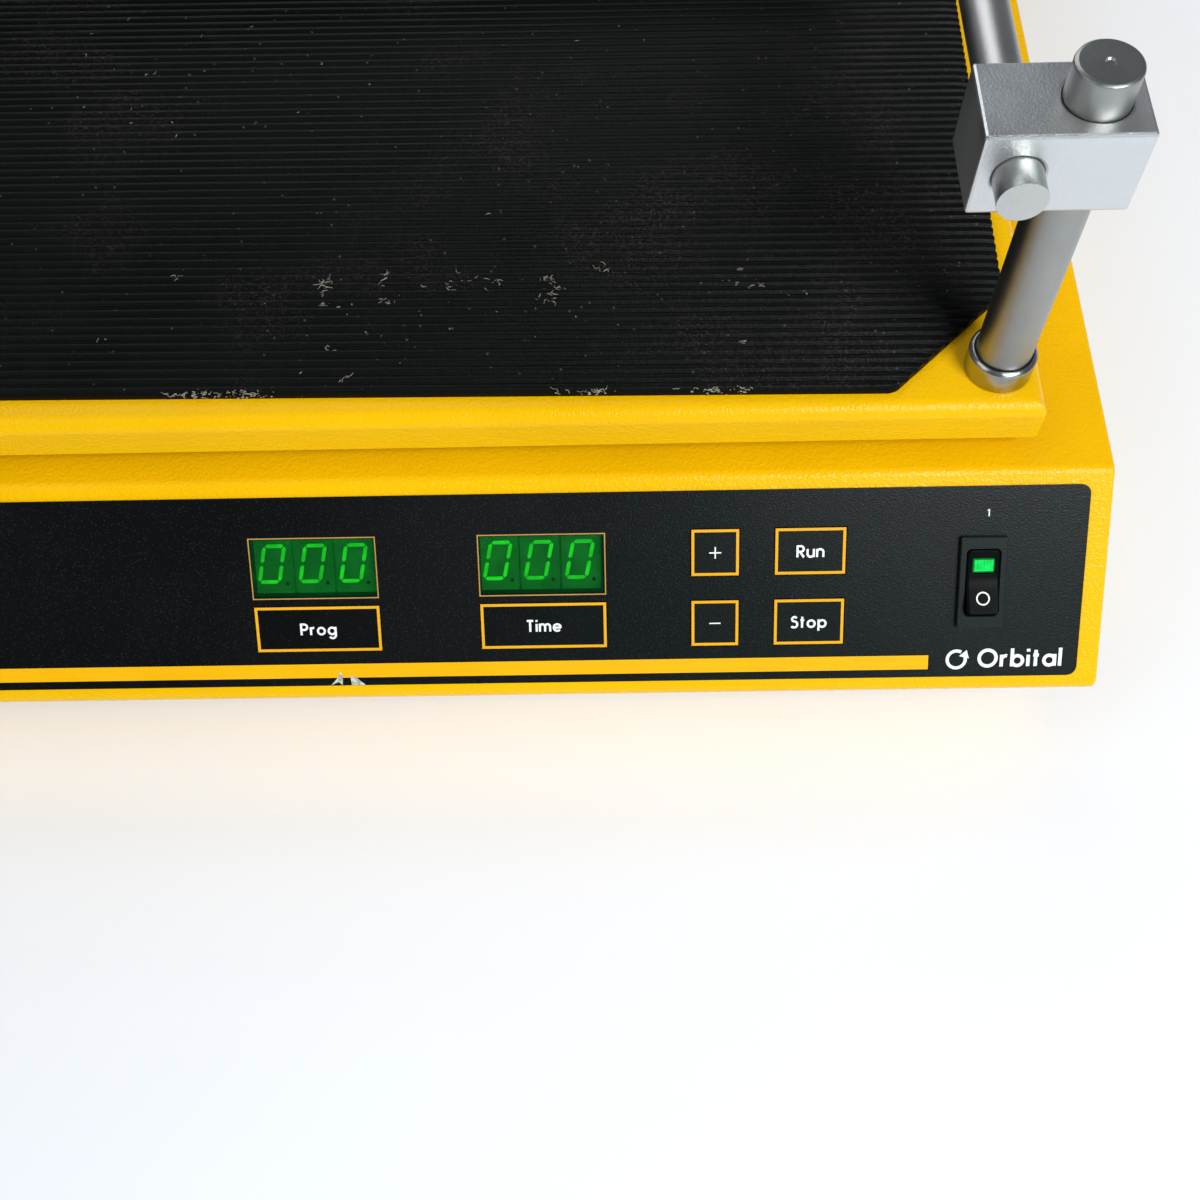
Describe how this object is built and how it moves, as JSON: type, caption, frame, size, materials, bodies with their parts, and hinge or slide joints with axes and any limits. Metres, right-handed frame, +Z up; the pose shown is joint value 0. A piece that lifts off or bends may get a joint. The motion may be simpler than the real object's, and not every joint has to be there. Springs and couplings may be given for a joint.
{
  "type": "laboratory orbital shaker",
  "caption": "Benchtop orbital shaker: low yellow case with a sloped console and a square clamping platform driven round a small circle by a belt-driven crank.",
  "frame": {"origin": "on the bench, under the middle of the case", "axes": "+Z up, -Y towards the console and the user, +X to the user's right"},
  "size_m": [0.5044, 0.5292, 0.2339],
  "materials": {
    "zinc": "bright zinc-plated sheet steel",
    "yellow_paint": "warm yellow textured powder coat, semi-gloss",
    "tray_paint": "warm yellow powder coat with light orange peel, semi-gloss",
    "foot_rubber": "matt black rubber",
    "mat_rubber": "ribbed black rubber, dusty and nicked with use",
    "belt_rubber": "matt black neoprene",
    "seal_rubber": "matt black rubber",
    "sleeve_rubber": "soft black rubber sleeve",
    "bright_steel": "bright turned steel",
    "label_film": "fine-textured dark charcoal polyester film",
    "display_window": "clear acrylic",
    "digit_module": "dark green digit modules with lit green segments",
    "circuit_board": "green solder-masked circuit board",
    "black_plastic": "moulded black plastic",
    "switch_plastic": "fine-textured black nylon",
    "rocker_plastic": "smooth glossy black plastic",
    "green_lens": "translucent green ribbed lens, lit",
    "motor_paint": "matt black enamel",
    "aluminium": "machined aluminium",
    "bearing_steel": "ground bearing steel",
    "cast_iron": "grey cast iron",
    "bronze": "sintered bronze",
    "brushed_post": "satin stainless steel",
    "polished_collar": "polished stainless steel",
    "thumb_plastic": "black knurled plastic knob on a steel screw"
  },
  "bodies": {
    "case": {"base_plate": "zinc", "housing": "yellow_paint", "rear_panel": "yellow_paint", "rubber_feet": "foot_rubber", "foot_screws": "bright_steel", "housing_screws": "bright_steel", "front_label": "label_film", "display_windows": "display_window", "digit_displays": "digit_module", "control_board": "circuit_board", "board_standoffs": "bright_steel", "key_switches": "black_plastic", "switch_bezel": "switch_plastic", "power_inlet": "black_plastic", "power_supply": "zinc", "motor": "motor_paint", "motor_bracket": "zinc", "drive_belt": "belt_rubber", "main_bearing_housing": "aluminium", "bearing_outer_rings": "bearing_steel", "idler_blocks": "aluminium", "idler_bushes": "bronze", "shaft_seals": "seal_rubber"},
    "key_prog": {"key_prog": "label_film"},
    "key_time": {"key_time": "label_film"},
    "key_plus": {"key_plus": "label_film"},
    "key_minus": {"key_minus": "label_film"},
    "key_run": {"key_run": "label_film"},
    "key_stop": {"key_stop": "label_film"},
    "rocker": {"switch_rocker": "rocker_plastic", "switch_lens": "green_lens"},
    "fuse_drawer": {"fuse_drawer": "black_plastic"},
    "motor_rotor": {"motor_shaft": "bright_steel", "motor_pulley": "aluminium"},
    "crank": {"main_shaft": "bright_steel", "drive_pulley": "aluminium", "counterweight": "cast_iron", "bearing_inner_rings": "bearing_steel"},
    "idler_fl": {"idler_crank_fl": "bright_steel"},
    "idler_fr": {"idler_crank_fr": "bright_steel"},
    "idler_rl": {"idler_crank_rl": "bright_steel"},
    "idler_rr": {"idler_crank_rr": "bright_steel"},
    "platform": {"platform_frame": "aluminium", "hub_bearing_ring": "bearing_steel", "platform_bushes": "bronze", "platform_tray": "tray_paint", "tray_screws": "bright_steel", "rubber_mat": "mat_rubber", "posts": "brushed_post", "post_collars": "polished_collar"},
    "rail_frame": {"rail_clamps": "aluminium", "side_rails": "brushed_post"},
    "bar_front": {"clamp_bar_front": "brushed_post", "bar_sleeve_front": "sleeve_rubber", "bar_ends_front": "aluminium"},
    "thumb_front": {"thumb_screw_front": "thumb_plastic"},
    "bar_rear": {"clamp_bar_rear": "brushed_post", "bar_sleeve_rear": "sleeve_rubber", "bar_ends_rear": "aluminium"},
    "thumb_rear": {"thumb_screw_rear": "thumb_plastic"}
  },
  "joints": [
    {"name": "crank_spin", "type": "hinge", "parent": "case", "child": "crank", "pos_m": [0, 0.02454, 0.058], "axis": [0, 0, 1], "continuous": true},
    {"name": "motor_spin", "type": "hinge", "parent": "case", "child": "motor_rotor", "pos_m": [0, -0.11046, 0.058], "axis": [0, 0, 1], "continuous": true},
    {"name": "idler_fl_spin", "type": "hinge", "parent": "case", "child": "idler_fl", "pos_m": [-0.165, -0.12546, 0.09913], "axis": [0, 0, 1], "continuous": true},
    {"name": "idler_fr_spin", "type": "hinge", "parent": "case", "child": "idler_fr", "pos_m": [0.165, -0.12546, 0.09913], "axis": [0, 0, 1], "continuous": true},
    {"name": "idler_rl_spin", "type": "hinge", "parent": "case", "child": "idler_rl", "pos_m": [-0.165, 0.17454, 0.09913], "axis": [0, 0, 1], "continuous": true},
    {"name": "idler_rr_spin", "type": "hinge", "parent": "case", "child": "idler_rr", "pos_m": [0.165, 0.17454, 0.09913], "axis": [0, 0, 1], "continuous": true},
    {"name": "platform_orbit", "type": "hinge", "parent": "crank", "child": "platform", "pos_m": [0, 0.01454, 0.10713], "axis": [0, 0, 1], "continuous": true},
    {"name": "key_prog_press", "type": "slide", "parent": "case", "child": "key_prog", "axis": [0, 0.7071, -0.7071], "range_m": [0, 0.0004], "stiffness_N_per_m": 2500},
    {"name": "key_time_press", "type": "slide", "parent": "case", "child": "key_time", "axis": [0, 0.7071, -0.7071], "range_m": [0, 0.0004], "stiffness_N_per_m": 2500},
    {"name": "key_plus_press", "type": "slide", "parent": "case", "child": "key_plus", "axis": [0, 0.7071, -0.7071], "range_m": [0, 0.0004], "stiffness_N_per_m": 2500},
    {"name": "key_minus_press", "type": "slide", "parent": "case", "child": "key_minus", "axis": [0, 0.7071, -0.7071], "range_m": [0, 0.0004], "stiffness_N_per_m": 2500},
    {"name": "key_run_press", "type": "slide", "parent": "case", "child": "key_run", "axis": [0, 0.7071, -0.7071], "range_m": [0, 0.0004], "stiffness_N_per_m": 2500},
    {"name": "key_stop_press", "type": "slide", "parent": "case", "child": "key_stop", "axis": [0, 0.7071, -0.7071], "range_m": [0, 0.0004], "stiffness_N_per_m": 2500},
    {"name": "switch_rock", "type": "hinge", "parent": "case", "child": "rocker", "pos_m": [0.21165, -0.24056, 0.07274], "axis": [1, 0, 0], "range_deg": [0, 20]},
    {"name": "fuse_drawer_pull", "type": "slide", "parent": "case", "child": "fuse_drawer", "axis": [0, 1, 0], "range_m": [0, 0.018]},
    {"name": "rail_height", "type": "slide", "parent": "platform", "child": "rail_frame", "axis": [0, 0, 1], "range_m": [-0.04, 0.008]},
    {"name": "bar_front_slide", "type": "slide", "parent": "rail_frame", "child": "bar_front", "axis": [0, 1, 0], "range_m": [-0.065, 0.08]},
    {"name": "thumb_front_turn", "type": "hinge", "parent": "bar_front", "child": "thumb_front", "pos_m": [0.1954, -0.09046, 0.20793], "axis": [0, 0, 1], "range_deg": [0, 180]},
    {"name": "bar_rear_slide", "type": "slide", "parent": "rail_frame", "child": "bar_rear", "axis": [0, 1, 0], "range_m": [-0.08, 0.065]},
    {"name": "thumb_rear_turn", "type": "hinge", "parent": "bar_rear", "child": "thumb_rear", "pos_m": [0.1954, 0.11954, 0.20793], "axis": [0, 0, 1], "range_deg": [0, 180]}
  ],
  "couplings": [
    {"joint": "motor_spin", "follows": "crank_spin", "ratio": 3.0556},
    {"joint": "platform_orbit", "follows": "crank_spin", "ratio": -1},
    {"joint": "idler_fl_spin", "follows": "crank_spin", "ratio": 1},
    {"joint": "idler_fr_spin", "follows": "crank_spin", "ratio": 1},
    {"joint": "idler_rl_spin", "follows": "crank_spin", "ratio": 1},
    {"joint": "idler_rr_spin", "follows": "crank_spin", "ratio": 1}
  ]
}
